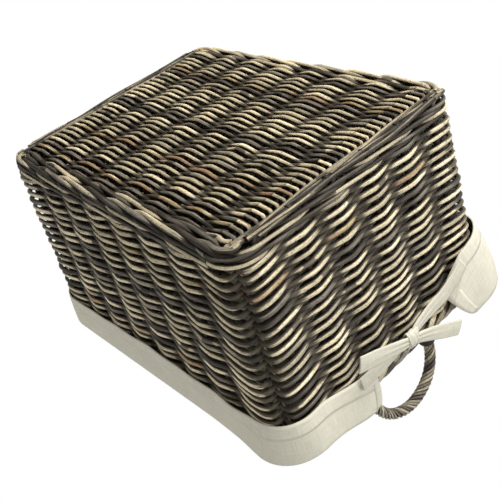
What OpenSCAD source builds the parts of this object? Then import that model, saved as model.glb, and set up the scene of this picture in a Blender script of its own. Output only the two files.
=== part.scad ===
// Rectangular willow laundry basket with ear handles and a tie-on cloth liner.
// +Z up, +X along the length, origin at the centre of the underside. Millimetres.

/* [Basket] */
// Length of the base over the weave
base_length = 500; // [400:5:640]
// Width of the base over the weave
base_width = 380; // [310:5:480]
// Height from the underside to the top of the border
basket_height = 302; // [220:2:380]
// Outward lean of all four walls, in degrees
flare_angle = 3; // [0:0.5:6]
// Plan radius of the corners at the base
corner_radius = 34; // [30:1:60]

/* [Willow rods] */
// Diameter of an upright stake
stake_d = 7; // [5:0.5:9]
// Diameter of a rod in the side weave
weaver_d = 6; // [4:0.5:7.5]
// Diameter of a base stick
base_stick_d = 8; // [6:0.5:12]
// Diameter of a rod in the base weave
base_weaver_d = 5.5; // [4:0.5:7.5]
// Stakes along each long side
stakes_long = 8; // [5:1:10]
// Stakes along each short side
stakes_short = 6; // [4:1:8]
// Distance from a corner's tangent to the nearest stake
stake_inset = 6; // [5:1:12]
// Clearance between a rod and the weave round it
rod_gap = 0.2; // [0.1:0.05:0.4]

/* [Base edge and upsett] */
// Height of the rods and waling that edge the underside
edge_h = 9; // [7:0.5:12]
// Diameter of the rods along the short edges
edge_rod_d = 8.4; // [6:0.2:8.6]
// Height of the upsett waling's band
upsett_h = 19; // [12:1:30]
// How far the upsett waling stands out beyond the side weave
upsett_proud = 2; // [0:0.5:4]

/* [Border and handles] */
// Width of the rim border
border_w = 26; // [20:1:34]
// Height of the rim border
border_h = 18; // [12:1:26]
// Diameter of the handle's core rod
handle_core_d = 8; // [6:0.5:10]
// Diameter of the roped handle
handle_d = 15.5; // [12:0.5:20]
// Straight length of the bow between the border and its half circle
handle_shank = 17; // [14:1:40]
// Bays between a handle leg and the middle of the end
handle_bays = 1; // [1:1:2]
// Depth of the core's legs in the side weave
handle_leg_depth = 110; // [60:5:160]
// Outer diameter of the binding at a handle's foot
collar_d = 21; // [20.5:0.5:26]
// Height of the binding at a handle's foot
collar_h = 20; // [10:1:30]

/* [Liner] */
// Thickness of the cloth
cloth_t = 1.6; // [1:0.2:2.4]
// Clearance between the liner and the willow
liner_gap = 1.5; // [1:0.25:4]
// Depth of the cuff, from its fold to its hem
cuff_depth = 58; // [40:1:90]
// Height of the cuff's hem band
hem_h = 20; // [10:1:30]
// Extra thickness of the hem bands
hem_t = 1; // [0.6:0.2:2]
// Clearance between a handle's binding and the slot in the cuff
slot_gap = 3; // [2:0.5:10]
// Width of the hem bands beside the slots
slot_hem_w = 12; // [8:1:20]
// Width of a tie strap
tie_w = 22; // [14:1:30]
// Slope of the tie straps, in degrees
tie_slope = 4; // [0:1:8]
// Length of a loose tail beyond the knot
tail_length = 66; // [30:2:90]
// Diameter of the knot
knot_d = 28; // [24:1:36]
// Thickness of the knot
knot_t = 9; // [8:0.5:14]

/* [Hidden] */
$fn = 64;
EPS = 0.05;
FRONT = 0;
RIGHT = 1;
BACK = 2;
LEFT = 3;
base_sticks = 8;

lean = tan(flare_angle);
wall_t = stake_d + 2 * weaver_d;
base_t = base_stick_d + 2 * base_weaver_d;
corner_x = base_length / 2 - corner_radius;
corner_y = base_width / 2 - corner_radius;
stake_r0 = corner_radius - wall_t / 2;
// Radius of the stake line from a corner's centre, at height z
function stake_r(z) = stake_r0 + z * lean;
base_edge_r = stake_r(edge_h) - wall_t / 2;
upsett_top = edge_h + upsett_h;
border_z = basket_height - border_h;
border_r = stake_r(border_z + border_h / 2);

stake_pitch_short = 2 * (corner_y - stake_inset) / (stakes_short - 1);
stake_pitch_long = 2 * (corner_x - stake_inset) / (stakes_long - 1);
stick_pitch = 2 * (corner_x - stake_inset) / (base_sticks - 1);
odd_stakes = stakes_short % 2;
handle_r = (handle_bays - odd_stakes / 2) * stake_pitch_short;
handle_foot = basket_height / cos(flare_angle) + border_w / 2 * lean;
handle_spring = handle_foot + handle_shank;
handle_leg_end = border_z / cos(flare_angle) - handle_leg_depth;

liner_out = border_w / 2 + liner_gap;
liner_in = liner_out + cloth_t;
floor_z = base_t + 0.5;
fold_z = basket_height + 1;
cuff_top = fold_z + cloth_t;
cuff_hem = cuff_top - cuff_depth;
skirt_in = border_r + border_w / 2 + liner_gap;
skirt_out = skirt_in + cloth_t;
slot_half = handle_r + collar_d / 2 + slot_gap;
tie_r = skirt_out + hem_t + 0.2;
tail_r = tie_r + cloth_t + 0.3;
knot_z = cuff_hem + hem_h / 2 + 2;

WILLOW = "#5b5248";
WILLOW_PALE = "#b9a988";
WILLOW_DARK = "#34322f";
LINEN = "#d3cfc0";
LINEN_HEM = "#c6c1af";

base_stick_nodes = [for (i = [1:base_sticks]) str("base_stick_", i)];

// ---- Placing: each side is drawn as the front one, outwards along -Y from the line of the corners' centres

function half_run(side) = side % 2 == 0 ? corner_x : corner_y;

module on_side(side)
    rotate([0, 0, 90 * side])
        translate([0, -half_run(side + 1), 0])
            children();

// An outline in (distance from the corners' centre line, height), drawn out along a side
module straight_run(length)
    rotate([0, 0, -90]) rotate([90, 0, 0])
        linear_extrude(length, center = true)
            children();

module side_run(side)
    on_side(side) straight_run(2 * half_run(side)) children();

// The same outline carried round the corner at the side's right-hand end
module corner_run(side)
    on_side(side)
        translate([half_run(side), 0, 0])
            rotate([0, 0, -90]) rotate_extrude(angle = 90)
                children();

module whole_ring()
    for (side = [FRONT:LEFT]) {
        side_run(side) children();
        corner_run(side) children();
    }

// Half of a ring on the front or the back, split at the handles by two slots
module half_ring(side) {
    stub = corner_y - slot_half;
    right_side = (side + 1) % 4;
    left_side = (side + 3) % 4;
    side_run(side) children();
    corner_run(side) children();
    corner_run(left_side) children();
    on_side(right_side) translate([-corner_y + stub / 2, 0, 0]) straight_run(stub) children();
    on_side(left_side) translate([corner_y - stub / 2, 0, 0]) straight_run(stub) children();
}

// A frame whose Z runs up the leaning stake line, at a place along a side
module on_stake_line(side, along)
    on_side(side)
        translate([along, -stake_r0, 0]) rotate([flare_angle, 0, 0])
            children();

function stake_places(count, pitch) = [for (i = [0:count - 1]) (i - (count - 1) / 2) * pitch];
function side_stakes(side) = side % 2 == 0
    ? stake_places(stakes_long, stake_pitch_long)
    : stake_places(stakes_short, stake_pitch_short);

// ---- Outlines

// A leaning band of woven rows, ridged on both faces: one ridge for each row
function woven_outline(z0, z1, rows, out, in, groove) =
    let (pitch = (z1 - z0) / rows, marks = [[0, 1], [0.3, 0], [0.7, 0]])
    concat(
        [for (i = [0:rows - 1], m = marks)
            let (z = z0 + (i + m[0]) * pitch) [stake_r(z) + out - m[1] * groove, z]],
        [[stake_r(z1) + out - groove, z1], [stake_r(z1) - in + groove, z1]],
        [for (i = [rows - 1:-1:0], m = [marks[2], marks[1], marks[0]])
            let (z = z0 + (i + m[0]) * pitch) [stake_r(z) - in + m[1] * groove, z]]);

function rows_between(z0, z1, d) = max(1, round((z1 - z0) / d));

module side_weave_outline()
    polygon(woven_outline(upsett_top, border_z, rows_between(upsett_top, border_z, 2 * weaver_d),
                          wall_t / 2, wall_t / 2, 1.5));

module upsett_outline()
    polygon(woven_outline(edge_h, upsett_top, 3, wall_t / 2 + upsett_proud, wall_t / 2, 1.5));

module edge_wale_outline() {
    out = corner_radius - 0.5;
    in = base_edge_r + rod_gap;
    bevel = 2;
    polygon([[in, 0], [out - bevel, 0], [out, bevel], [out, edge_h - rod_gap], [in, edge_h - rod_gap]]);
}

module border_outline() {
    shoulder = border_h / 3;
    crown = border_h - shoulder;
    polygon(concat(
        [[border_r - border_w / 2, border_z], [border_r + border_w / 2, border_z]],
        [for (a = [0:15:180])
            [border_r + border_w / 2 * cos(a), border_z + shoulder + crown * sin(a)]]));
}

module liner_wall_outline()
    polygon([
        [stake_r(floor_z) - liner_out, floor_z], [stake_r(cuff_top) - liner_out, cuff_top],
        [stake_r(cuff_top) - liner_in, cuff_top], [stake_r(floor_z) - liner_in, floor_z]]);

module cuff_outline() {
    fold_in = stake_r(cuff_top) - liner_out + EPS;
    polygon([
        [fold_in, fold_z], [skirt_in, fold_z], [skirt_in, cuff_hem],
        [skirt_out, cuff_hem], [skirt_out, cuff_top], [fold_in, cuff_top]]);
}

module band_outline(r, t, z0, z1)
    polygon([[r, z0], [r + t, z0], [r + t, z1], [r, z1]]);

// A slab over the plan of the corners' centres grown by r
module plan_slab(r, t)
    linear_extrude(t) {
        square([2 * corner_x, 2 * (corner_y + r)], center = true);
        square([2 * (corner_x + r), 2 * corner_y], center = true);
        for (x = [-corner_x, corner_x], y = [-corner_y, corner_y])
            translate([x, y]) circle(r);
    }

// ---- Base

module base_stick(i)
    color(WILLOW_PALE)
        translate([(i - (base_sticks + 1) / 2) * stick_pitch, 0, base_t / 2])
            rotate([90, 0, 0])
                cylinder(h = 2 * (corner_y + base_edge_r) - 2, d = base_stick_d, center = true);

module base_weave()
    color(WILLOW)
        difference() {
            plan_slab(base_edge_r, base_t);
            for (i = [1:base_sticks])
                translate([(i - (base_sticks + 1) / 2) * stick_pitch, 0, base_t / 2])
                    rotate([90, 0, 0])
                        cylinder(h = 2 * (corner_y + base_edge_r) + 2, d = base_stick_d + 2 * rod_gap, center = true);
        }

module base_edge_rods(side)
    color(WILLOW_PALE)
        on_side(side)
            for (i = [0, 1])
                translate([0, -(base_edge_r + rod_gap + (i + 0.5) * (edge_rod_d + rod_gap)), edge_rod_d / 2])
                    rotate([0, 90, 0])
                        cylinder(h = 2 * half_run(side) - 2 * rod_gap, d = edge_rod_d, center = true);

module base_edge_wale(side)
    color(WILLOW_PALE) {
        side_run(side) edge_wale_outline();
        corner_run(side) edge_wale_outline();
        corner_run((side + 3) % 4) edge_wale_outline();
    }

// ---- Sides

module stake_channels(side, z0, z1)
    for (along = side_stakes(side))
        on_stake_line(side, along)
            translate([0, 0, z0]) cylinder(h = z1 - z0, d = stake_d + 2 * rod_gap);

module stakes(side) {
    foot = edge_h + stake_d * lean + rod_gap;
    top = border_z - stake_d * lean - rod_gap;
    color(WILLOW_DARK)
        for (along = side_stakes(side))
            on_stake_line(side, along)
                translate([0, 0, foot]) cylinder(h = top / cos(flare_angle) - foot, d = stake_d);
}

module upsett_wale()
    color(WILLOW)
        difference() {
            whole_ring() upsett_outline();
            for (side = [FRONT:LEFT])
                stake_channels(side, 0, 2 * upsett_top);
        }

module side_weave(side)
    color(WILLOW)
        difference() {
            side_run(side) side_weave_outline();
            stake_channels(side, 0, 2 * basket_height);
            if (side % 2 == 1)
                handle_leg_bores(side);
        }

module corner_weave(side)
    color(WILLOW)
        corner_run(side) side_weave_outline();

module rim_border()
    color(WILLOW)
        difference() {
            whole_ring() border_outline();
            handle_leg_bores(LEFT);
            handle_leg_bores(RIGHT);
        }

// ---- Handles: a bow in the leaning plane of the stake line

module handle_leg_bores(side)
    for (along = [-handle_r, handle_r])
        on_stake_line(side, along)
            translate([0, 0, handle_leg_end - 1])
                cylinder(h = handle_spring - handle_leg_end, d = handle_core_d + 2 * rod_gap);

module half_hoop()
    translate([0, 0, handle_spring]) rotate([90, 0, 0])
        rotate_extrude(angle = 180)
            translate([handle_r, 0]) children();

module handle_core(side)
    color(WILLOW_DARK)
        on_stake_line(side, 0) {
            half_hoop() circle(d = handle_core_d);
            for (along = [-handle_r, handle_r])
                translate([along, 0, handle_leg_end])
                    cylinder(h = handle_spring - handle_leg_end, d = handle_core_d);
        }

module wrap_ring(d)
    difference() {
        circle(d = d);
        circle(d = handle_core_d + rod_gap);
    }

module handle_wrap(side)
    color(WILLOW_PALE)
        on_stake_line(side, 0) {
            half_hoop() wrap_ring(handle_d);
            for (along = [-handle_r, handle_r])
                translate([along, 0, handle_foot])
                    linear_extrude(handle_shank) wrap_ring(handle_d);
        }

module handle_collars(side)
    color(WILLOW_DARK)
        on_stake_line(side, 0)
            for (along = [-handle_r, handle_r])
                translate([along, 0, handle_foot])
                    linear_extrude(min(collar_h, handle_shank))
                        difference() {
                            circle(d = collar_d);
                            circle(d = handle_d + rod_gap);
                        }

// ---- Liner

module liner_floor_panel()
    color(LINEN)
        translate([0, 0, floor_z])
            plan_slab(stake_r(floor_z) - liner_in - EPS, cloth_t);

module liner_wall_panel(side)
    color(LINEN) side_run(side) liner_wall_outline();

module liner_corner_seams()
    color(LINEN_HEM)
        for (side = [FRONT:LEFT])
            corner_run(side) liner_wall_outline();

module liner_cuff(side)
    color(LINEN) half_ring(side) cuff_outline();

module cuff_hem(side)
    color(LINEN_HEM)
        half_ring(side) band_outline(skirt_out, hem_t, cuff_hem, cuff_hem + hem_h);

module slot_hems(side)
    color(LINEN_HEM)
        on_side(side)
            for (end = [-1, 1])
                translate([end * (slot_half + slot_hem_w / 2), 0, 0])
                    straight_run(slot_hem_w)
                        band_outline(skirt_out, hem_t, cuff_hem + hem_h + EPS, cuff_top - cloth_t);

module knot_cutter(side)
    on_side(side)
        translate([0, -tie_r, knot_z]) rotate([90, 0, 0])
            cylinder(h = 3 * knot_t, d = knot_d + 2 * rod_gap, center = true);

// One strap from the slot's edge to the knot, and its tail beyond the knot on an outer layer
module tie(side, end)
    color(LINEN_HEM)
        difference() {
            on_side(side) {
                strap = slot_half + slot_hem_w;
                translate([0, -tie_r, knot_z]) rotate([0, -end * tie_slope, 0])
                    translate([end * strap / 2, -cloth_t / 2, 0])
                        cube([strap, cloth_t, tie_w], center = true);
                translate([0, -tail_r, knot_z]) rotate([0, -end * 4 * tie_slope, 0])
                    translate([-end * (tail_length + knot_d / 2) / 2, -cloth_t / 2, 0])
                        cube([tail_length + knot_d / 2, cloth_t, tie_w], center = true);
            }
            knot_cutter(side);
        }

module knot(side)
    color(LINEN)
        on_side(side)
            translate([0, -tie_r, knot_z]) rotate([90, 0, 0])
                rotate_extrude()
                    polygon([[0, 0], [knot_d / 2, 0], [knot_d / 2, knot_t / 2],
                             [knot_d / 3, knot_t], [0, knot_t]]);

for (i = [1:base_sticks])
    base_stick(i);
base_weave();
base_edge_rods(LEFT);  // base_edge_rods_left
base_edge_rods(RIGHT);  // base_edge_rods_right
base_edge_wale(FRONT);  // base_edge_wale_front
base_edge_wale(BACK);  // base_edge_wale_back
upsett_wale();
stakes(FRONT);  // stakes_front
stakes(RIGHT);  // stakes_right
stakes(BACK);  // stakes_back
stakes(LEFT);  // stakes_left
side_weave(FRONT);  // side_weave_front
side_weave(RIGHT);  // side_weave_right
side_weave(BACK);  // side_weave_back
side_weave(LEFT);  // side_weave_left
corner_weave(FRONT);  // corner_weave_front_right
corner_weave(RIGHT);  // corner_weave_back_right
corner_weave(BACK);  // corner_weave_back_left
corner_weave(LEFT);  // corner_weave_front_left
rim_border();
handle_core(LEFT);  // handle_core_left
handle_core(RIGHT);  // handle_core_right
handle_wrap(LEFT);  // handle_wrap_left
handle_wrap(RIGHT);  // handle_wrap_right
handle_collars(LEFT);  // handle_collars_left
handle_collars(RIGHT);  // handle_collars_right
liner_floor_panel();
liner_wall_panel(FRONT);  // liner_front_panel
liner_wall_panel(RIGHT);  // liner_right_panel
liner_wall_panel(BACK);  // liner_back_panel
liner_wall_panel(LEFT);  // liner_left_panel
liner_corner_seams();
liner_cuff(FRONT);  // liner_cuff_front
liner_cuff(BACK);  // liner_cuff_back
cuff_hem(FRONT);  // cuff_hem_front
cuff_hem(BACK);  // cuff_hem_back
slot_hems(LEFT);  // slot_hems_left
slot_hems(RIGHT);  // slot_hems_right
tie(LEFT, 1);  // tie_front_left
tie(LEFT, -1);  // tie_back_left
tie(RIGHT, -1);  // tie_front_right
tie(RIGHT, 1);  // tie_back_right
knot(LEFT);  // knot_left
knot(RIGHT);  // knot_right
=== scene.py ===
# A rectangular willow laundry basket with roped ear handles and a tie-on canvas liner.
import math
import random

import bpy
import numpy as np
from mathutils import Euler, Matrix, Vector


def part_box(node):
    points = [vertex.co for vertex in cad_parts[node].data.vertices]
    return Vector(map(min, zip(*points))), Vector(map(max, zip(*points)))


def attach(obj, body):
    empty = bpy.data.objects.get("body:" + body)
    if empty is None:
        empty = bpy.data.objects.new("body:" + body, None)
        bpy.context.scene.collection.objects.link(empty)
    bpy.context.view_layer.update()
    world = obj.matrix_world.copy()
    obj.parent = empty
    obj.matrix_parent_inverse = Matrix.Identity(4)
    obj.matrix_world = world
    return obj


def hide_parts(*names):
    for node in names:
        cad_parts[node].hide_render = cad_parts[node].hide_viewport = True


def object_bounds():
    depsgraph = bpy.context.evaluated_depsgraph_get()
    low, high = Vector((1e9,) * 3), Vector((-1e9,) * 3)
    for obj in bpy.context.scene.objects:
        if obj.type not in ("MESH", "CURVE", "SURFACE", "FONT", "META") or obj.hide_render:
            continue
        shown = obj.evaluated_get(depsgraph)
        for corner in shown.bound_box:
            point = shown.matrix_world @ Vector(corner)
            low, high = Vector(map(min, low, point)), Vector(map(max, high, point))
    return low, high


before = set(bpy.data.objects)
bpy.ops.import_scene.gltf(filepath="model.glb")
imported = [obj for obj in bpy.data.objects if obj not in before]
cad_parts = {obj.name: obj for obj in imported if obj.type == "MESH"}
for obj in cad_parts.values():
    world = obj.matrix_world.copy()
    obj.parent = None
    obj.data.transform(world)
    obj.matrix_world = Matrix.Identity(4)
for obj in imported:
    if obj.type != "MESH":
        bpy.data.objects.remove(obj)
cad_low, cad_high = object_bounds()
bpy.ops.object.select_all(action="DESELECT")

# ---- Studio
# A pale floor under the basket, a white surround, and soft lamps above and below it. The camera looks up at
# the underside, with the basket turned over in its view. Seen from below, the floor lets everything through.
LENS = 54.1
CAMERA_PLACE = (-0.7744, -0.4930, -0.4145)
CAMERA_TURN = (54.30, -165.25, -47.23)
# The place, the size and the power of each lamp.
LAMPS = {
    "key_below": ((-0.6, 1.0, -1.9), 1.0, 92),
    "end_fill": ((-2.2, 0.7, -0.4), 1.0, 26),
    "key_above": ((0.7, 0.8, 2.4), 1.4, 40),
    "back_fill": ((1.6, 1.9, 1.0), 1.4, 10),
}
WHITE = 1.0
FLOOR_SIZE = 12.0
FLOOR_COLOUR = (0.86, 0.86, 0.85)
FLOOR_DROP = 0.0005

scene = bpy.context.scene
scene.view_settings.view_transform = "Standard"

camera = bpy.data.objects.new("camera", bpy.data.cameras.new("camera"))
camera.data.lens = LENS
camera.data.clip_start = 0.02
camera.location = CAMERA_PLACE
camera.rotation_euler = Euler([math.radians(a) for a in CAMERA_TURN])
scene.collection.objects.link(camera)
scene.camera = camera

basket_middle = (cad_low + cad_high) / 2
for name, (place, size, power) in LAMPS.items():
    lamp = bpy.data.objects.new(name, bpy.data.lights.new(name, "AREA"))
    lamp.data.shape = "DISK"
    lamp.data.size = size
    lamp.data.energy = power
    lamp.location = place
    lamp.rotation_euler = (basket_middle - Vector(place)).to_track_quat("-Z", "Y").to_euler()
    scene.collection.objects.link(lamp)

world = bpy.data.worlds.new("white surround")
world.use_nodes = True
world.node_tree.nodes["Background"].inputs["Color"].default_value = (WHITE, WHITE, WHITE, 1)
scene.world = world


class Value:
    """A shader socket or a number, with arithmetic that adds Math nodes to its tree."""

    def __init__(self, shader, socket):
        self.shader, self.socket = shader, socket

    def _math(self, operation, *values):
        return self.shader.node("ShaderNodeMath", {"operation": operation}, *values)

    def __add__(self, other):
        return self._math("ADD", self, other)

    def __sub__(self, other):
        return self._math("SUBTRACT", self, other)

    def __rsub__(self, other):
        return self._math("SUBTRACT", other, self)

    def __mul__(self, other):
        return self._math("MULTIPLY", self, other)

    __radd__ = __add__
    __rmul__ = __mul__

    def step(self, low, high, to_low=0.0, to_high=1.0):
        """Smoothly from to_low at low to to_high at high."""
        return self.shader.node("ShaderNodeMapRange", {"interpolation_type": "SMOOTHSTEP"},
                                self, low, high, to_low, to_high)


class Shader:
    """A material's node tree, ending in one Principled shader."""

    def __init__(self, name):
        self.material = bpy.data.materials.new(name)
        self.material.use_nodes = True
        self.tree = self.material.node_tree
        self.principled = self.tree.nodes["Principled BSDF"]

    def node(self, kind, settings, *values, out=0, **named):
        """Adds a node, sets its settings, then fills its sockets in order or by name; None skips one."""
        made = self.tree.nodes.new(kind)
        for key, value in settings.items():
            if key == "stops":
                ramp = made.color_ramp
                while len(ramp.elements) < len(value):
                    ramp.elements.new(0.5)
                for element, (place, colour) in zip(ramp.elements, value):
                    element.position, element.color = place, (*colour, 1)
            else:
                setattr(made, key, value)
        for socket, value in zip(made.inputs, values):
            self.fill(socket, value)
        for socket, value in named.items():
            self.fill(made.inputs[socket], value)
        return Value(self, made.outputs[out])

    def fill(self, socket, value):
        if isinstance(value, Value):
            self.tree.links.new(value.socket, socket)
        elif value is not None:
            if hasattr(socket.default_value, "__len__") and len(socket.default_value) == 4:
                value = (*value, 1)
            socket.default_value = value

    def attribute(self, name):
        return self.node("ShaderNodeAttribute", {"attribute_name": name}, out=2)

    def noise(self, vector, scale, detail):
        return self.node("ShaderNodeTexNoise", {}, vector, None, scale, detail)

    def stretched(self, vector, scale):
        return self.node("ShaderNodeVectorMath", {"operation": "MULTIPLY"}, vector, scale)

    def mix(self, share, colour_a, colour_b):
        skipped = [None] * 5
        return self.node("ShaderNodeMix", {"data_type": "RGBA"}, share, *skipped, colour_a, colour_b, out=2)

    def bump(self, height, strength, distance):
        return self.node("ShaderNodeBump", {}, Strength=strength, Distance=distance, Height=height)

    def finish(self, colour, roughness, normal, **plain):
        self.fill(self.principled.inputs["Base Color"], colour)
        self.fill(self.principled.inputs["Roughness"], roughness)
        self.fill(self.principled.inputs["Normal"], normal)
        for name, value in plain.items():
            self.principled.inputs[name.replace("_", " ")].default_value = value
        return self.material


bpy.ops.mesh.primitive_plane_add(size=FLOOR_SIZE, location=(0, 0, cad_low.z - FLOOR_DROP))
floor = bpy.context.object
floor.name = "floor"
floor_shader = Shader("pale floor")
from_below = floor_shader.node("ShaderNodeNewGeometry", {}, out=6)
clear = floor_shader.node("ShaderNodeBsdfTransparent", {})
shown = Value(floor_shader, floor_shader.principled.outputs[0])
floor_mix = floor_shader.node("ShaderNodeMixShader", {}, from_below, shown, clear)
floor_shader.fill(floor_shader.tree.nodes["Material Output"].inputs["Surface"], floor_mix)
floor_shader.finish(FLOOR_COLOUR, 0.7, None)
floor.data.materials.append(floor_shader.material)
floor.visible_shadow = False

# ---- Stakes
# Peeled willow uprights, washed dark grey, pushed down beside the base and up through the side weave. They
# lean outwards with the walls. Every rod of the basket is swept along its own path, with its tone and a mask
# that is wear and painted light and shade in one.
STAKE = 0.007
WEAVER = 0.006
WALL = STAKE + 2 * WEAVER
WALL_LEAN = math.radians(3)
LEAN = math.tan(WALL_LEAN)
ROD_SIDES = 8
OVAL = 1.06
BARK_SHIFT = 0.37

corner_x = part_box("side_weave_front")[1].x
corner_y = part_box("side_weave_left")[1].y
weave_bottom, weave_top = (corner.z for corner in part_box("side_weave_front"))
stake_bottom, stake_top = (corner.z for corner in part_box("stakes_front"))
SIDES = ("front", "right", "back", "left")
STAKE_COUNTS = (8, 6, 8, 6)
STAKE_INSET = 0.006
STAKE_RINGS = 12
stake_radius_top = -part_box("stakes_front")[0].y - corner_y - STAKE / 2


def stake_radius(z):
    """Radius of the stake line round a corner's centre, at height z."""
    return stake_radius_top - (stake_top - z) * LEAN


def round_wall(distance, radius):
    """A point and its outward direction, that far round the rounded oblong from the front's left end."""
    lengths = [2 * corner_x, math.pi / 2 * radius, 2 * corner_y, math.pi / 2 * radius] * 2
    distance %= sum(lengths)
    corners = [(corner_x, -corner_y), (corner_x, corner_y), (-corner_x, corner_y), (-corner_x, -corner_y)]
    for i, length in enumerate(lengths):
        if distance <= length:
            break
        distance -= length
    side = i // 2
    turn = math.pi / 2 * (side - 1)
    if i % 2:
        turn += distance / radius
        x, y = corners[side]
    else:
        x, y = corners[side - 1]
        x, y = x - math.sin(turn) * distance, y + math.cos(turn) * distance
    out = Vector((math.cos(turn), math.sin(turn), 0))
    return Vector((x, y, 0)) + out * radius, out


def stake_distances(radius):
    """How far round the wall each stake stands, at that radius."""
    found, start = [], 0.0
    for side, count in enumerate(STAKE_COUNTS):
        run = 2 * (corner_x, corner_y)[side % 2]
        pitch = (run - 2 * STAKE_INSET) / (count - 1)
        found += [start + STAKE_INSET + i * pitch for i in range(count)]
        start += run + math.pi / 2 * radius
    return found, start


def run_along(points):
    """How far along its line each point is."""
    return np.concatenate([[0], np.cumsum(np.linalg.norm(np.diff(points, axis=0), axis=1))])


def sweep_rods(name, rods, reach, material, sides=ROD_SIDES):
    """One mesh of closed rods. A rod has points and a tone. Its outward direction, how far proud its middle
    is and its radius are one for each point or one for all. What faces out and stands proud is worn, and the
    same mask paints light on it, and painted shade on the flanks and on what turns inward."""
    verts, faces, uvs, tones, wears_and_shading = [], [], [], [], []
    turn = np.linspace(0, 2 * math.pi, sides, endpoint=False)
    first = 0
    for number, rod in enumerate(rods):
        p = np.array(rod["points"], float)
        n = len(p)
        out = np.broadcast_to(np.array(rod["out"], float), (n, 3))
        proud = np.broadcast_to(rod["proud"], n)
        radius = np.broadcast_to(rod["radius"], n)
        along = np.gradient(p, axis=0)
        along /= np.linalg.norm(along, axis=1)[:, None]
        across = np.cross(along, out)
        across /= np.linalg.norm(across, axis=1)[:, None]
        up = np.cross(across, along)
        facing = np.cos(turn)[None, :]
        ring = facing[:, :, None] * up[:, None] + OVAL * np.sin(turn)[None, :, None] * across[:, None]
        verts.append((p[:, None] + ring * radius[:, None, None]).reshape(-1, 3))
        # Wear and painted light in one: the outward crest and proud parts come out light, and the flanks and
        # what turns inward stay dark as painted shade.
        lift = proud[:, None] * np.clip(1.5 * facing, -1, 1) + radius[:, None] * np.abs(facing)
        wears_and_shading.append((lift / reach).ravel())
        tones.append(np.full(n * sides, rod["tone"]))
        length = run_along(p) + number * BARK_SHIFT
        i, j = np.meshgrid(np.arange(n - 1), np.arange(sides), indexing="ij")
        i, j = i.ravel(), j.ravel()
        k = (j + 1) % sides
        quads = first + np.stack([i * sides + j, (i + 1) * sides + j, (i + 1) * sides + k, i * sides + k], 1)
        faces += quads[:, ::-1].tolist()
        v = np.stack([j, j, j + 1, j + 1], 1) / sides
        u = np.stack([length[i], length[i + 1], length[i + 1], length[i]], 1)
        uvs.append(np.stack([u, v], 2)[:, ::-1].reshape(-1, 2))
        caps = np.arange(sides)
        faces.append((first + caps).tolist())
        faces.append((first + (n - 1) * sides + caps[::-1]).tolist())
        for end in (0, -1):
            uvs.append(np.stack([np.full(sides, length[end]), caps / sides], 1))
        first += n * sides
    mesh = bpy.data.meshes.new(name)
    mesh.from_pydata(np.concatenate(verts).tolist(), [], faces)
    mesh.uv_layers.new(name="bark").data.foreach_set("uv", np.concatenate(uvs).astype(np.float32).ravel())
    for key, values in (("tone", tones), ("wear", wears_and_shading)):
        layer = mesh.attributes.new(key, "FLOAT", "POINT")
        layer.data.foreach_set("value", np.concatenate(values).astype(np.float32))
    mesh.polygons.foreach_set("use_smooth", [len(face) == 4 for face in faces])
    mesh.materials.append(material)
    rods_object = bpy.data.objects.new(name, mesh)
    scene.collection.objects.link(rods_object)
    return rods_object


def willow(name, stops, wash_and_shade, wear_and_shading_from, wear_and_shading_to, gloss):
    """Willow washed grey in its hollows and worn back to its own colour on what stands proud. The same mask
    paints light on the crests and shade on the flanks and where the rods turn in.
    """
    shader = Shader(name)
    bark = shader.node("ShaderNodeUVMap", {"uv_map": "bark"})
    tone, wear = shader.attribute("tone"), shader.attribute("wear")
    streak = shader.noise(shader.stretched(bark, (16, 11, 1)), 1.0, 3.0)
    grain = shader.noise(shader.stretched(bark, (95, 30, 1)), 1.0, 2.0)
    speck = shader.noise(shader.stretched(bark, (330, 12, 1)), 1.0, 1.0)
    blotch = shader.noise(shader.stretched(bark, (17, 0.9, 1)), 1.0, 2.0)
    soaked = shader.noise(shader.stretched(bark, (6.1, 0.2, 1)), 1.0, 1.0)
    ring = shader.noise(shader.stretched(bark, (21, 0.1, 1)), 1.0, 0.0).step(0.68, 0.71)
    shade = tone + (blotch - 0.5) * 0.7 + (streak - 0.5) * 0.45 + (soaked - 0.5) * 0.5
    own = shader.node("ShaderNodeValToRGB", {"stops": stops}, shade)
    # Where the mask is high the rod is worn to its own colour and painted light; where it is low the rod keeps
    # the dark wash, which is also painted shade.
    bared_and_lit = wear + (streak - 0.5) * 0.6 + (grain - 0.5) * 0.45 + (soaked - 0.5) * 0.4
    rubbed_and_lit = bared_and_lit.step(wear_and_shading_from, wear_and_shading_to)
    dull = shader.mix(0.10, wash_and_shade, own)
    colour = shader.mix(rubbed_and_lit, dull, own)
    colour = shader.mix(grain.step(0.56, 0.66) * 0.35, colour, (0.045, 0.036, 0.028))
    colour = shader.mix(ring * 0.8, colour, (0.03, 0.024, 0.02))
    colour = shader.mix(speck.step(0.56, 0.68) * 0.6, colour, (0.035, 0.03, 0.026))
    rough = rubbed_and_lit * (0.62 - gloss) + gloss
    normal = shader.bump(grain + streak * 0.6 + speck * 0.5, 0.6, 0.0009)
    return shader.finish(colour, rough, normal, Specular_IOR_Level=0.08)


WILLOW_TONES = [(0.0, (0.028, 0.024, 0.019)), (0.16, (0.060, 0.051, 0.040)), (0.32, (0.175, 0.155, 0.125)),
                (0.48, (0.335, 0.29, 0.20)), (0.66, (0.50, 0.43, 0.29)), (0.86, (0.66, 0.58, 0.42)),
                (0.94, (0.32, 0.27, 0.14)), (1.0, (0.27, 0.18, 0.11))]
# Near-black colour of the grey wash, darkened to also stand for painted shade in the hollows and turns of the
# weave.
GREY_WASH_AND_SHADE = (0.021, 0.017, 0.013)
woven_willow = willow("washed and shaded willow", WILLOW_TONES, GREY_WASH_AND_SHADE, 0.40, 0.62, 0.42)
smooth_willow = willow("dark smooth willow", WILLOW_TONES, GREY_WASH_AND_SHADE, 0.5, 1.1, 0.34)

chance = random.Random(88)


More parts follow.
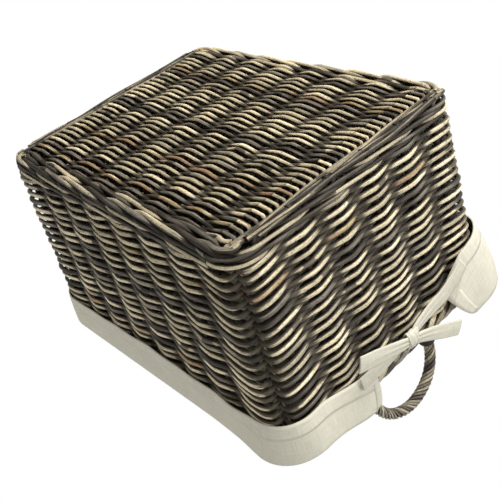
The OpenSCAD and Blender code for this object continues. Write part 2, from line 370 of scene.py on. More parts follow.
def tone_of_rod():
    """Mostly straw and cream, some grey, a few brown."""
    pick = chance.random()
    if pick < 0.22:
        return chance.uniform(0.10, 0.26)
    if pick < 0.95:
        return chance.uniform(0.34, 0.80)
    return chance.uniform(0.90, 1.0)


for side, name in enumerate(SIDES):
    rods = []
    start = sum(STAKE_COUNTS[:side])
    for i in range(start, start + STAKE_COUNTS[side]):
        line = []
        for z in np.linspace(stake_bottom, stake_top, STAKE_RINGS):
            point, out = round_wall(stake_distances(stake_radius(z))[0][i], stake_radius(z))
            line.append((point.x, point.y, z))
        rods.append({"points": line, "out": out, "proud": 0, "radius": STAKE / 2,
                     "tone": chance.uniform(0.05, 0.2)})
    stakes = sweep_rods(f"stake_rods_{name}", rods, WALL / 2, smooth_willow)
    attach(stakes, "basket")
    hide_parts(f"stakes_{name}")

# ---- Side weave
# Plain randing in brushed willow: a rod goes in front of one stake and behind the next, and the row above it
# does the opposite. A row is pieced from two rods, butt to tip. Their ends are tucked away behind a stake.
ROW_PITCH = 0.00625
BEND = 0.96
BAY_STEPS = 10
rows = round((weave_top - weave_bottom) / ROW_PITCH)
row_pitch = (weave_top - weave_bottom) / rows
stake_count = sum(STAKE_COUNTS)
swing = (STAKE + WEAVER) / 2
LAST_STAKES = [sum(STAKE_COUNTS[:side + 1]) - 1 for side in range(4)]
CORNER_STEPS = 20
CORNER_DIVE = 0.034
CORNER_GROOVE = 0.005
GROOVE_WIDTH = 0.10
CORNER_FULL = 0.003
# How much darker the rods round each corner are made: painted shade in the corner's groove.
CORNER_PAINTED_SHADE = 0.0070
ROD_SWAY = 0.0012
ROD_SWELL = 0.0009
ROD_SLIP = 0.08


def weave_wave(share):
    """From 1 at a stake to -1 at the next: nearly straight between them, with a quick bend at each."""
    return math.asin(BEND * math.cos(math.pi * share)) / math.asin(BEND)


def slipped(share, slip):
    """That share of a bay with the rod's bend slipped to one side of the middle."""
    return share + slip * math.sin(math.pi * share)


def corner_wave(share):
    """The same round a corner: out past the corner, then a steep dive on its line."""
    return 1 - 2 / (1 + math.exp(-(share - 0.5) / CORNER_DIVE))


def side_row(z, sign, first_bay, bays, butt, tip):
    """One rod along a row of the side weave, over that many bays between stakes."""
    points, outs, prouds = [], [], []
    sway = [chance.uniform(-1, 1) for _ in range(bays + 2)]
    swell = [chance.uniform(-1, 1) for _ in range(bays + 2)]
    slip = [chance.uniform(-ROD_SLIP, ROD_SLIP) for _ in range(bays)]
    for bay in range(bays):
        at = first_bay + bay
        at_corner = at % stake_count in LAST_STAKES
        steps = CORNER_STEPS if at_corner else BAY_STEPS
        for step in range(steps + (bay == bays - 1)):
            share = step / steps
            ease = share * share * (3 - 2 * share)
            height = z + ROD_SWAY * (sway[bay] * (1 - ease) + sway[bay + 1] * ease)
            radius = stake_radius(height)
            places, total = stake_distances(radius)
            here = places[at % stake_count] + total * (at // stake_count)
            following = places[(at + 1) % stake_count] + total * ((at + 1) // stake_count)
            foot, out = round_wall(here + (following - here) * share, radius)
            reach = swing + ROD_SWELL * (swell[bay] * (1 - ease) + swell[bay + 1] * ease)
            wave = corner_wave(share) if at_corner else weave_wave(slipped(share, slip[bay]))
            proud = reach * wave * (sign if at % 2 == 0 else -sign)
            painted_corner_shade = 0
            if at_corner:
                groove = math.exp(-((share - 0.5) / GROOVE_WIDTH) ** 2)
                proud += CORNER_FULL * (math.sin(math.pi * share) ** 2 - groove) - CORNER_GROOVE * groove
                # Painted shade in the corner's groove: for colour only, the rods count as less proud here, so
                # they come out darker.
                painted_corner_shade = CORNER_PAINTED_SHADE * (0.25 + 0.75 * math.sin(math.pi * share))
            points.append((foot + out * proud) + Vector((0, 0, height)))
            outs.append(out)
            prouds.append(proud - painted_corner_shade)
    return {"points": points, "out": outs, "proud": prouds, "tone": tone_of_rod(),
            "radius": np.linspace(butt, tip, len(points))}


def side_course(rows_here):
    """The rods of those rows, two to a row, each starting behind a stake."""
    rods = []
    for row in rows_here:
        z = weave_bottom + (row + 0.5) * row_pitch
        sign = 1 if row % 2 else -1
        first = chance.randrange(stake_count)
        if (first % 2 == 0) == (sign > 0):
            first += 1
        split = 2 * chance.randrange(5, 9)
        for start, bays in ((first, split), (first + split, stake_count - split)):
            butt, tip = chance.uniform(0.0031, 0.0036), chance.uniform(0.0026, 0.0032)
            rods.append(side_row(z, sign, start, bays, butt, tip))
    return rods


COURSES = 3
weave_nodes = [f"side_weave_{name}" for name in SIDES] + [
    f"corner_weave_{name}" for name in ("front_right", "back_right", "back_left", "front_left")]
for course in range(COURSES):
    rods = side_course(range(course * rows // COURSES, (course + 1) * rows // COURSES))
    weave = sweep_rods(f"side_weave_course_{course + 1}", rods, WALL / 2, woven_willow)
    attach(weave, "basket")
    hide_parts(*weave_nodes)

# ---- Base
# Eight thick willow sticks run from front to back. Long rods are randed across them and turn round the
# outermost stick at the end of each row, so that the underside shows the same bricked strokes as the sides.
BASE_STICK = 0.008
BASE_WEAVER = 0.0055
BASE_STICKS = 8
STICK_SIDES = 12
BASE_PITCH = 0.0052
BASE_SWAY = 0.0009
BASE_SLIP = 0.11
BASE_SUNK = 0.86
TURN_STEPS = 12
TURN_FLAT = 2.6
TURN_ROUND = 2.8
BASE_ROD_ROWS = 2
# How much lighter the base rods' tone is than the sides': painted light on the underside.
BASE_PAINTED_LIGHT = 0.05
base_low, base_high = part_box("base_weave")
base_middle = (base_low.z + base_high.z) / 2
base_rows = round((base_high.y - base_low.y - BASE_WEAVER) / BASE_PITCH)
base_pitch = (base_high.y - base_low.y - BASE_WEAVER) / (base_rows - 1)
base_swing = (BASE_STICK + BASE_WEAVER) / 2

stick_places = []
for number in range(1, BASE_STICKS + 1):
    low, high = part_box(f"base_stick_{number}")
    stick_places.append((low.x + high.x) / 2)
    rod = {"points": [(stick_places[-1], y, base_middle) for y in np.linspace(low.y, high.y, 10)],
           "out": (0, 0, -1), "proud": 0, "radius": BASE_STICK / 2, "tone": 0.3}
    stick = sweep_rods(f"base_stick_rod_{number}", [rod], WALL / 2, smooth_willow, STICK_SIDES)
    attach(stick, "basket")
    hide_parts(f"base_stick_{number}")


def base_row(row, y):
    """The points of one row from end to end, with the turn round the last stick."""
    ahead = row % 2 == 0
    sticks = stick_places if ahead else stick_places[::-1]
    found = []
    sign = 1
    sway = [chance.uniform(-BASE_SWAY, BASE_SWAY) for _ in sticks]
    slip = [chance.uniform(-BASE_SLIP, BASE_SLIP) for _ in sticks]
    sunk = [chance.uniform(BASE_SUNK, 1.0) for _ in sticks]
    for k in range(len(sticks) - 1):
        for step in range(BAY_STEPS):
            share = step / BAY_STEPS
            x = sticks[k] + (sticks[k + 1] - sticks[k]) * share
            proud = base_swing * weave_wave(slipped(share, slip[k])) * sign
            depth = sunk[k] * (1 - share) + sunk[k + 1] * share
            drift = sway[k] * (1 - share) + sway[k + 1] * share
            found.append(((x, y + drift, base_middle - proud * depth), (0, 0, -1), proud))
        sign = -sign
    way = 1 if ahead else -1
    overhang = (base_high.x - stick_places[-1]) - BASE_WEAVER / 2
    for step in range(TURN_STEPS + 1):
        share = step / TURN_STEPS
        height = min(1.0, max(-1.0, TURN_FLAT * math.cos(math.pi * share)))
        x = sticks[-1] + way * overhang * min(1.0, TURN_ROUND * share, TURN_ROUND * (1 - share))
        place = (x, y + base_pitch * step / (TURN_STEPS + 1), base_middle - base_swing * sign * height)
        found.append((place, (0.5 * way * (1 - abs(height)), 0, -1), base_swing * height * sign))
    return found


base_line = [base_row(row, base_low.y + BASE_WEAVER / 2 + row * base_pitch) for row in range(base_rows)]
rods = []
for first in range(0, base_rows, BASE_ROD_ROWS):
    line = [point for row in base_line[first:first + BASE_ROD_ROWS] for point in row]
    points, outs, prouds = zip(*line)
    # Painted light: the base rods are toned lighter than those of the sides.
    tone = tone_of_rod() + BASE_PAINTED_LIGHT
    butt, tip = chance.uniform(0.0029, 0.0033), chance.uniform(0.0024, 0.0028)
    rods.append({"points": points, "out": outs, "proud": prouds, "tone": tone,
                 "radius": np.linspace(butt, tip, len(points))})
base_weave = sweep_rods("base_weave_rods", rods, base_swing + BASE_WEAVER / 2, woven_willow)
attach(base_weave, "basket")
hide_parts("base_weave")

# ---- Base edge, short ends
# Two thin pale rods are twisted along each short edge over the ends of the base rows, and four more are laid
# beside them, with a loop at each corner. The side stakes' dark smooth feet bend under outside them and run
# along the edge to the far side of the next. A butt is cut off in a knob beside each foot.
PALE_EDGE = 0.0026
PALE_TWIST = 0.055
EDGE_STEPS = 60
LAID_RODS = ((0.0125, 0.58), (0.0085, 0.24), (0.0045, 0.50), (0.0010, 0.36))
LAID_Z = 0.0036
LOOP_STEPS = 14
FOOT = 0.0031
LAST_FOOT = 0.022
KNOB = 0.0036
pale_edges, dark_feet = [], []
for name, way in (("left", -1), ("right", 1)):
    low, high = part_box(f"base_edge_rods_{name}")
    inner = min(abs(low.x), abs(high.x))
    outer = max(abs(low.x), abs(high.x))
    side_stakes = np.linspace(low.y + STAKE_INSET, high.y - STAKE_INSET, STAKE_COUNTS[1])
    end_y = base_high.y + 0.004
    rods = []
    for strand in range(2):
        ys = np.linspace(-end_y, end_y, EDGE_STEPS)
        turns = ys / PALE_TWIST + chance.uniform(0, 6) + math.pi * strand
        xs = inner + PALE_EDGE * (1.2 + 1.1 * np.sin(turns))
        zs = PALE_EDGE * (1.70 + 0.5 * np.cos(turns))
        rods.append({"points": np.stack([way * xs, ys, zs], 1), "out": (0, 0, -1), "proud": 0.003,
                     "radius": np.linspace(1.15, 0.85, EDGE_STEPS) * PALE_EDGE,
                     "tone": chance.uniform(0.4, 0.62)})
    for laid, (inset, tone) in enumerate(LAID_RODS):
        ys = np.linspace(-end_y + 0.010 * laid, end_y - 0.007 * laid, EDGE_STEPS)
        xs = outer - inset + 0.0022 * np.sin(ys / 0.033 + 2.1 * laid)
        zs = LAID_Z + 0.0011 * np.sin(ys / 0.027 + 1.7 * laid)
        rods.append({"points": np.stack([way * xs, ys, zs], 1), "out": (0, 0, -1), "proud": 0.003,
                     "radius": np.linspace(0.0025, 0.0018, EDGE_STEPS)[::(-1) ** laid], "tone": tone})
    for corner_end in (-1, 1):
        turns = np.linspace(-0.6, 3.3, LOOP_STEPS)
        xs = outer - 0.0135 + 0.0070 * np.cos(turns)
        ys = corner_end * (end_y - 0.0060 + 0.0080 * np.sin(turns))
        zs = LAID_Z + 0.0006 * turns
        rods.append({"points": np.stack([way * xs, ys, zs], 1), "out": (0, 0, -1), "proud": 0.003,
                     "radius": np.linspace(0.0029, 0.0023, LOOP_STEPS), "tone": 0.5})
    pale_edges.append((name, rods))
    feet = []
    for i, y in enumerate(side_stakes):
        following = side_stakes[i + 1] if i + 1 < len(side_stakes) else y + LAST_FOOT
        x = outer - FOOT * 1.35
        top = (way * (x - 0.001), y, stake_bottom + 0.004)
        line = [top, (way * x, y, stake_bottom), (way * x, y + 0.002, FOOT * 1.9)]
        line += [(way * (x - 0.0035 * share), y + 0.006 + (following - y - 0.001) * share,
                  FOOT * (1.25 + 0.25 * math.sin(math.pi * share))) for share in np.linspace(0, 1, 8)]
        feet.append({"points": line, "out": [(way, 0, 0)] * 2 + [(way * 0.7, 0, -0.7)] * 9,
                     "proud": 0.004, "radius": FOOT, "tone": chance.uniform(0.02, 0.30)})
        cut = y - 0.007
        knob = [(way * (x - 0.0065), cut + 0.010, 0.0068), (way * (x - 0.0050), cut + 0.005, 0.0048),
                (way * (x - 0.0035), cut, 0.0030)]
        feet.append({"points": knob, "out": (way, 0, -0.3), "proud": 0.002, "radius": KNOB,
                     "tone": chance.uniform(0.05, 0.3)})
    dark_feet.append((name, feet))
for name, rods in pale_edges:
    edge = sweep_rods(f"base_edge_rods_pale_{name}", rods, WALL / 2, woven_willow)
    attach(edge, "basket")
    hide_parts(f"base_edge_rods_{name}")
for name, rods in dark_feet:
    feet = sweep_rods(f"stake_feet_{name}", rods, WALL / 2, smooth_willow)
    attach(feet, "basket")
    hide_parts(f"base_edge_rods_{name}")

# ---- Upsett and long base edges
# Waling: three rods worked in turn, each in front of two stakes and behind the third, so that long strokes
# overlap like a rope. Two rounds turn the stakes up into the sides, and two bands of the same run along each
# long edge of the underside.
WALE = 0.0053
WALE_FULL = 0.0008
EDGE_ROD = 0.0068
EDGE_BANDS = 2
EDGE_OVERRUN = 0.62
upsett_low, upsett_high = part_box("upsett_wale")
UPSETT_ROUNDS = 2
WALE_STEP = (upsett_high.z - upsett_low.z) / (2 * UPSETT_ROUNDS)


def tone_of_wale():
    """Grey and pale rods with some dark ones."""
    return chance.uniform(0.30, 0.64) if chance.random() < 0.66 else chance.uniform(0.08, 0.24)


def wale_rod(spots, lag, size, reach, lay):
    """One of three waling rods past stakes at those spots, lag stakes behind the first. lay gives the point
    and outward direction for a distance, how proud it is, and its climb from -1/2 to 1/2 of a step."""
    points, outs, prouds = [], [], []
    swell = [chance.uniform(-0.0006, 0.0010) for _ in spots]
    drift = [chance.uniform(-0.12, 0.12) for _ in spots]
    for at in range(len(spots) - 1):
        before = (at + lag) % 3
        for step in range(BAY_STEPS + (at == len(spots) - 2)):
            share = step / BAY_STEPS
            if before == 0:
                proud, climb = 1, 0.5 - share
            elif before == 1:
                proud, climb = weave_wave(share), -0.5 + 0.5 * min(1, max(0, share - 0.6) / 0.4)
            else:
                proud, climb = -weave_wave(share), 0.5 * min(1, share / 0.4)
            proud *= reach + swell[at] * (1 - share) + swell[at + 1] * share
            climb += drift[at] * (1 - share) + drift[at + 1] * share
            point, out = lay(spots[at] + (spots[at + 1] - spots[at]) * share, proud, climb)
            points.append(point)
            outs.append(out)
            prouds.append(proud)
    return {"points": points, "out": outs, "proud": prouds, "tone": tone_of_wale(),
            "radius": size / 2 * np.linspace(1.03, 0.93, len(points))}


rods = []
for number in range(UPSETT_ROUNDS):
    z = upsett_low.z + (2 * number + 1) * WALE_STEP
    places, total = stake_distances(stake_radius(z))

    def lay_upsett(distance, proud, climb):
        foot, out = round_wall(distance, stake_radius(z))
        return foot + out * proud + Vector((0, 0, z + WALE_STEP * climb)), out

    spots = places + [total + places[0]]
    for lag in range(3):
        rods.append(wale_rod(spots, lag, WALE, (STAKE + WALE) / 2 + WALE_FULL, lay_upsett))
upsett = sweep_rods("upsett_waling_rods", rods, WALL / 2, woven_willow)
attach(upsett, "basket")
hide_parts("upsett_wale")

for side, name in ((0, "front"), (2, "back")):
    low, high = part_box(f"base_edge_wale_{name}")
    outer_y = max(abs(low.y), abs(high.y))
    rods = []
    for number in range(EDGE_BANDS):
        radius = outer_y - corner_y - EDGE_ROD * (1.0 + 1.9 * number)
        arc = math.pi / 2 * radius
        start = side * (corner_x + corner_y) + side * arc
        pitch = (2 * corner_x - 2 * STAKE_INSET) / (STAKE_COUNTS[0] - 1)
        spots = [start + STAKE_INSET + i * pitch for i in range(STAKE_COUNTS[0])]
        spots = [start - EDGE_OVERRUN * arc] + spots + [start + 2 * corner_x + EDGE_OVERRUN * arc]
        edge_z = EDGE_ROD * (1.45 + 0.12 * number)

        def lay_edge(distance, proud, climb):
            foot, out = round_wall(distance, radius)
            return foot + out * (EDGE_ROD * 0.95 * climb) + Vector((0, 0, edge_z - proud)), (0, 0, -1)

        for lag in range(3):
            rods.append(wale_rod(spots, lag, EDGE_ROD, EDGE_ROD * 0.82, lay_edge))
    edge = sweep_rods(f"base_edge_waling_{name}", rods, WALL / 2, woven_willow)
    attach(edge, "basket")
    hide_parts(f"base_edge_wale_{name}")

# ---- Rim border
# The stakes' willow tops are bent down and plaited round the rim into a thick rope-like border of five rods,
# which holds the weave down and carries the liner. Most of it is under the cuff.
BORDER_ROD = 0.0078
BORDER_RODS = 5
BORDER_TWIST = 0.125
BORDER_STEPS = 420
border_low, border_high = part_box("rim_border")
border_z = (border_low.z + border_high.z) / 2
border_radius = stake_radius(border_z)
border_half = border_high.x - corner_x - border_radius
border_length = stake_distances(border_radius)[1]
border_turns = round(border_length / BORDER_TWIST)
rods = []
for strand in range(BORDER_RODS):
    points, outs = [], []
    for step in range(BORDER_STEPS + 1):
        share = step / BORDER_STEPS
        turn = 2 * math.pi * (border_turns * share + strand / BORDER_RODS)
        foot, out = round_wall(border_length * share, border_radius)
        across = out * math.cos(turn) * (border_half - BORDER_ROD / 2 * OVAL)
        lift = math.sin(turn) * ((border_high.z - border_low.z) / 2 - BORDER_ROD / 2)
        points.append(foot + across + Vector((0, 0, border_z + lift)))
        outs.append((out * math.cos(turn) + Vector((0, 0, math.sin(turn)))).normalized())
    rods.append({"points": points, "out": outs, "proud": 0.005, "tone": tone_of_wale(),
                 "radius": BORDER_ROD / 2})
border = sweep_rods("rim_border_rods", rods, WALL / 2, woven_willow)
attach(border, "basket")
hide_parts("rim_border")

# ---- Handles
# A stout rod is bent to a bow over each short end, its legs pushed down into the weave. Seven thin rods are
# roped round it, and a dark smooth rod is bound round each foot where it enters the border.
CORE = 0.008
CORE_SPACING = 0.006
ROPE_SPACING = 0.0022
HANDLE_LEAN = math.tan(math.radians(6))
LEG_SUNK = 0.0045
ROPE_ROD = 0.0043
ROPE_RODS = 7
ROPE_PITCH = 0.050
BINDING = 0.005
BINDING_TURNS = 4
BINDING_STEPS = 16
for name, way in (("left", -1), ("right", 1)):
    core_low, core_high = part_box(f"handle_core_{name}")
    wrap_low, wrap_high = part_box(f"handle_wrap_{name}")
    collar_low, collar_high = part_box(f"handle_collars_{name}")
    bow = (core_high.y - core_low.y - CORE) / 2
    rope_radius = (wrap_high.y - wrap_low.y) / 2 - bow
    spring = wrap_high.z - rope_radius - bow

    def bow_line(start, spacing):
        """Points up one leg, over the bow and down the other, from that height."""
        leg = [(bow, z) for z in np.linspace(start, spring, max(2, round((spring - start) / spacing)))[:-1]]
        arch = [(bow * math.cos(a), spring + bow * math.sin(a))
                for a in np.linspace(0, math.pi, round(math.pi * bow / spacing) + 1)]
        points = []
        for y, z in leg + arch + [(-y, z) for y, z in leg[::-1]]:
            lean = HANDLE_LEAN * max(0.0, z - border_high.z)
            sunk = LEG_SUNK * min(1.0, max(0.0, weave_top + 0.004 - z) / 0.012)
            points.append((way * (corner_x + stake_radius(z) + lean - sunk), y, z))
        return np.array(points)

    rod = {"points": bow_line(core_low.z, CORE_SPACING), "out": (way, 0, 0), "proud": 0,
           "radius": CORE / 2 / OVAL, "tone": 0.1}
    core = sweep_rods(f"handle_core_rod_{name}", [rod], WALL / 2, smooth_willow, STICK_SIDES)
    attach(core, "basket")
    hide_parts(f"handle_core_{name}")

    line = bow_line(border_high.z - 0.004, ROPE_SPACING)
    along = np.gradient(line, axis=0)
    along /= np.linalg.norm(along, axis=1)[:, None]
    leaning = np.array((way, 0.0, 0.0)) - along * (way * along[:, :1])
    leaning /= np.linalg.norm(leaning, axis=1)[:, None]
    beside = np.cross(along, leaning)
    distance = run_along(line)
    rods = []
    for strand in range(ROPE_RODS):
        turn = 2 * math.pi * (distance / ROPE_PITCH + strand / ROPE_RODS) + chance.uniform(-0.12, 0.12)
        out = leaning * np.cos(turn)[:, None] + beside * np.sin(turn)[:, None]
        size = ROPE_ROD / 2 * chance.uniform(0.94, 1.06)
        rods.append({"points": line + out * (rope_radius - ROPE_ROD / 2), "out": out, "proud": 0.0035,
                     "radius": size, "tone": chance.choice((0.18, 0.28, 0.36, 0.44, 0.52))})
    rope = sweep_rods(f"handle_roping_{name}", rods, WALL / 2, woven_willow)
    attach(rope, "basket")
    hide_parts(f"handle_wrap_{name}")

    rods = []
    for foot in (-1, 1):
        steps = BINDING_STEPS * BINDING_TURNS
        points, outs = [], []
        for step in range(steps + 1):
            turn = 2 * math.pi * step / BINDING_STEPS
            z = collar_low.z + BINDING / 2 + (collar_high.z - collar_low.z - BINDING) * step / steps
            out = Vector((math.cos(turn), math.sin(turn), 0))
            middle = Vector((way * (corner_x + stake_radius(z)), foot * bow, z))
            points.append(middle + out * (rope_radius + BINDING * 0.22))
            outs.append(out)
        rods.append({"points": points, "out": outs, "proud": 0.002, "radius": BINDING / 2,
                     "tone": chance.uniform(0.02, 0.1)})
    binding = sweep_rods(f"handle_bindings_{name}", rods, WALL / 2, smooth_willow)
    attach(binding, "basket")
    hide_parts(f"handle_collars_{name}")

# ---- Liner: canvas
# Unbleached canvas in a plain weave, washed and soft. Every piece is a closed sheet with a map in metres, so
# that weave and stitches keep their real size. Hems and ties are stitched along both edges.
CANVAS = 0.0013
HEM_CLOTH = 0.0009
TIE_CLOTH = 0.0014
THREAD = 0.0011
STITCH = 0.0036
panel_low, panel_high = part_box("liner_left_panel")
wall_inside = -panel_low.x - corner_x - stake_radius(panel_high.z) + CANVAS / 2


def canvas_sheet(name, grid, material, thick=CANVAS):
    """A closed sheet of cloth over a grid of points, thick to both sides of them alike."""
    grid = np.array(grid, float)
    rows_here, columns = grid.shape[:2]
    normal = np.cross(np.gradient(grid, axis=0), np.gradient(grid, axis=1))
    normal /= np.maximum(np.linalg.norm(normal, axis=2), 1e-12)[..., None]
    u, v = np.meshgrid(run_along(grid[rows_here // 2]), run_along(grid[:, columns // 2]))
    face_side, back_side = grid + normal * thick / 2, grid - normal * thick / 2
    verts = np.concatenate([face_side.reshape(-1, 3), back_side.reshape(-1, 3)])
    index = np.arange(rows_here * columns).reshape(rows_here, columns)
    a, b, c, d = index[:-1, :-1], index[1:, :-1], index[1:, 1:], index[:-1, 1:]
    face = np.stack([a, b, c, d], 2).reshape(-1, 4)
    rim = np.concatenate([index[0, :], index[1:, -1], index[-1, -2::-1], index[-2:0:-1, 0]])
    after = np.roll(rim, -1)
    under = rows_here * columns
    edge = np.stack([rim, after, after + under, rim + under], 1)
    faces = np.concatenate([face, face[:, ::-1] + under, edge])
    mesh = bpy.data.meshes.new(name)
    mesh.from_pydata(verts.tolist(), [], faces.tolist())
    place = np.tile(np.stack([u.ravel(), v.ravel()], 1), (2, 1))
    mesh.uv_layers.new(name="weave").data.foreach_set("uv", place[faces.ravel()].astype(np.float32).ravel())
    mesh.polygons.foreach_set("use_smooth", [True] * (2 * len(face)) + [False] * len(edge))
    mesh.materials.append(material)
    cloth = bpy.data.objects.new(name, mesh)
    scene.collection.objects.link(cloth)
    return cloth


def canvas(name, colour, stitch_rows=()):
    """Plain-weave canvas, with rows of stitches at those distances across the piece."""
    shader = Shader(name)
    weave = shader.node("ShaderNodeUVMap", {"uv_map": "weave"})
    along, across = (shader.node("ShaderNodeSeparateXYZ", {}, weave, out=axis) for axis in (0, 1))
    warp = shader.node("ShaderNodeMath", {"operation": "SINE"}, along * (2 * math.pi / THREAD))
    weft = shader.node("ShaderNodeMath", {"operation": "SINE"}, across * (2 * math.pi / THREAD))
    slub_up = shader.noise(shader.stretched(weave, (700, 45, 1)), 1.0, 1.0)
    slub_over = shader.noise(shader.stretched(weave, (45, 700, 1)), 1.0, 1.0)
    worn = shader.noise(weave, 22.0, 3.0)
    crease = shader.noise(shader.stretched(weave, (30, 11, 1)), 1.0, 2.0)
    shade = (slub_up + slub_over - 1.0) * 0.5 + (worn - 0.5) * 0.22
    darker = tuple(part * 0.84 for part in colour)
    lighter = tuple(min(1.0, part * 1.05) for part in colour)
    tint = shader.mix(shade.step(-0.25, 0.25), darker, lighter)
    # Painted shade in the gaps between the crossing threads of the weave.
    tint = shader.mix((warp * weft).step(-1.0, -0.1, 0.16, 0.0), tint, darker)
    height = warp * weft * 0.25 + slub_up + slub_over
    for row in stitch_rows:
        off = shader.node("ShaderNodeMath", {"operation": "ABSOLUTE"}, across - row)
        share = shader.node("ShaderNodeMath", {"operation": "FRACT"}, along * (1 / STITCH))
        line = off.step(0.0004, 0.0009, 1.0, 0.0)
        thread = line * share.step(0.12, 0.2) * share.step(0.8, 0.9, 1.0, 0.0)
        sunk = off.step(0.0004, 0.0022, 1.0, 0.0)
        # Painted shade in the groove that each row of stitches pulls into the cloth.
        tint = shader.mix(sunk * 0.10, tint, darker)
        tint = shader.mix(thread * 0.7, tint, lighter)
        height = height + thread * 0.8 - sunk * 0.3
    normal = shader.bump(height + crease * 1.5, 0.35, 0.0012)
    return shader.finish(tint, 0.9, normal, Specular_IOR_Level=0.15)


UNBLEACHED = (0.427, 0.408, 0.334)
plain_canvas = canvas("unbleached canvas", UNBLEACHED)
hem_canvas = canvas("hemmed canvas", UNBLEACHED, (0.002, 0.0178))
tie_canvas = canvas("tie canvas", UNBLEACHED, (0.002, 0.020))
slot_canvas = canvas("slot hem canvas", UNBLEACHED, (0.002, 0.0095))


def ripple(a, b, seed):
    """A soft unevenness from -1 to 1, with waves of 60 to 200 mm along and 40 to 90 mm across."""
    soft = random.Random(seed)
    total = 0
    for _ in range(5):
        total = total + soft.uniform(0.5, 1.0) * np.sin(a * soft.uniform(30, 100) * soft.choice((-1, 1))
                                                        + b * soft.uniform(10, 70) + soft.uniform(0, 6.3))
    return total / 3.2


# ---- Liner: floor and walls
# A flat canvas floor is sewn to four wall panels, which stand inside the willow and lean out with it. The
# walls are sewn together up the corners, where the seam allowance makes a narrow raised rib.
PATH_RADIUS = 0.040
FLOOR_EASE = 0.001
FLOOR_GRID = (46, 60)
FLOOR_PUFF = 0.0012
WALL_GRID = (30, 72)
WALL_EASE = 0.0022
WALL_SLACK = 0.0022
FOLD_DROP = 0.0016
RIB_ROWS = 5
RIB_WIDTH = 0.0084
RIB_OUT = 0.0036
RIB_BOW = 0.0014
RIB_CLOTH = 0.001
floor_low, floor_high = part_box("liner_floor_panel")
walls_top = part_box("liner_front_panel")[1].z
fold_low, fold_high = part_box("liner_cuff_front")
floor_z = (floor_low.z + floor_high.z) / 2


def round_point(distance, radius, z):
    """A point that far round the stake line's path at mid height, moved out or in to that radius."""
    foot, out = round_wall(distance, PATH_RADIUS)
    return np.array((*(foot + out * (radius - PATH_RADIUS)).xy, z))


path_arc = math.pi / 2 * PATH_RADIUS
half_width, half_depth = floor_high.x - FLOOR_EASE, floor_high.y - FLOOR_EASE
corner = half_width - corner_x
grid = np.zeros((*FLOOR_GRID, 3))
for row, y in enumerate(np.linspace(-half_depth, half_depth, FLOOR_GRID[0])):
    for column, x in enumerate(np.linspace(-half_width, half_width, FLOOR_GRID[1])):
        over = Vector((max(0, abs(x) - corner_x), max(0, abs(y) - corner_y)))
        pull = over.normalized() * max(0.0, over.length - corner)
        grid[row, column] = (x - math.copysign(pull.x, x), y - math.copysign(pull.y, y), floor_z)
inside_x, inside_y = (np.clip(1 - (grid[..., axis] / half) ** 6, 0, 1)
                      for axis, half in enumerate((half_width, half_depth)))
grid[..., 2] += FLOOR_PUFF * inside_x * inside_y * (1 + ripple(grid[..., 0], grid[..., 1], 5))
liner_floor = canvas_sheet("liner_floor", grid[::-1], plain_canvas)
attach(liner_floor, "liner")
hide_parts("liner_floor_panel")

wall_heights = np.linspace(floor_z, fold_high.z - FOLD_DROP, WALL_GRID[0])
starts = [-path_arc / 2]
for side in range(4):
    starts.append(starts[-1] + 2 * (corner_x, corner_y)[side % 2] + path_arc)


def seam_rib(side):
    """The seam allowance that stands up inside the corner at the left of a wall."""
    line = np.array([round_point(starts[side], stake_radius(z) + wall_inside - RIB_OUT, z)
                     for z in wall_heights])
    out = round_wall(starts[side], PATH_RADIUS)[1]
    across = np.array((-out.y, out.x, 0))
    grid = [line + across * (RIB_WIDTH / 2) * share + np.array(out) * RIB_BOW * share ** 2
            for share in np.linspace(-1, 1, RIB_ROWS)]
    rib = canvas_sheet(f"liner_seam_rib_{side + 1}", grid, slot_canvas, RIB_CLOTH)
    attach(rib, "liner")
    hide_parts("liner_corner_seams")
    return rib


for side, name in enumerate(SIDES):
    distances = np.linspace(starts[side], starts[side + 1], WALL_GRID[1])
    grid = np.zeros((*WALL_GRID, 3))
    last = WALL_GRID[1] - 1
    for row, z in enumerate(wall_heights):
        for column, distance in enumerate(distances):
            up = (z - floor_z) / (wall_heights[-1] - floor_z)
            edge = min(column, last - column) / last
            slack = math.sin(math.pi * up) ** 0.7 * min(1, edge * 9)
            inward = slack * (WALL_SLACK + 0.0020 * float(ripple(distance, z, 11 + side)))
            radius = stake_radius(z) + wall_inside - WALL_EASE - inward
            grid[row, column] = round_point(distance, radius, z)
    wall = canvas_sheet(f"liner_wall_{name}", grid, plain_canvas)
    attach(wall, "liner")
    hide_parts(f"liner_{name}_panel", "liner_corner_seams")
    run = 2 * (corner_x, corner_y)[side % 2]
    top = run + math.pi / 2 * (stake_radius(walls_top) + wall_inside)
    bottom = run + math.pi / 2 * (stake_radius(floor_z) + wall_inside)
    tall = (walls_top - floor_z) / math.cos(WALL_LEAN)
    (top + bottom) / 2 * tall
    seam_rib(side)

# ---- Liner: cuffs
# The top of the liner is folded out over the border and hangs outside it as a canvas cuff, in two halves
# with a slot for each handle between them. The back half is pulled long and loose round the left end's corner.
# A hem band is sewn along the lower edge of each half, and a narrow hem beside each slot.
hem_z = fold_low.z
skirt_radius = -fold_low.y - corner_y - CANVAS
fold_radius = stake_radius(fold_high.z) + wall_inside - WALL_EASE
slot_half = -fold_high.y
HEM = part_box("cuff_hem_front")[1].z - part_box("cuff_hem_front")[0].z
SLOT_HEM = 0.009
HEM_LIFT = 0.0003
SLOT_LIFT = 0.0006
WEAVE_OUT = 0.0136
SHOULDER = 0.006
FOLD_IN = 0.0014
CUFF_ROWS = {"top": 7, "shoulder": 5, "skirt": 20}
CUFF_COLUMNS = 200


def bump_at(distance, middle, half):
    """1 at middle, falling smoothly to 0 at half either side."""
    share = min(1.0, abs(distance - middle) / half)
    return (1 + math.cos(math.pi * share)) / 2


def ramp(away, reach):
    """1 at nothing away, falling straight to 0 at that reach."""
    return max(0.0, 1 - away / reach)


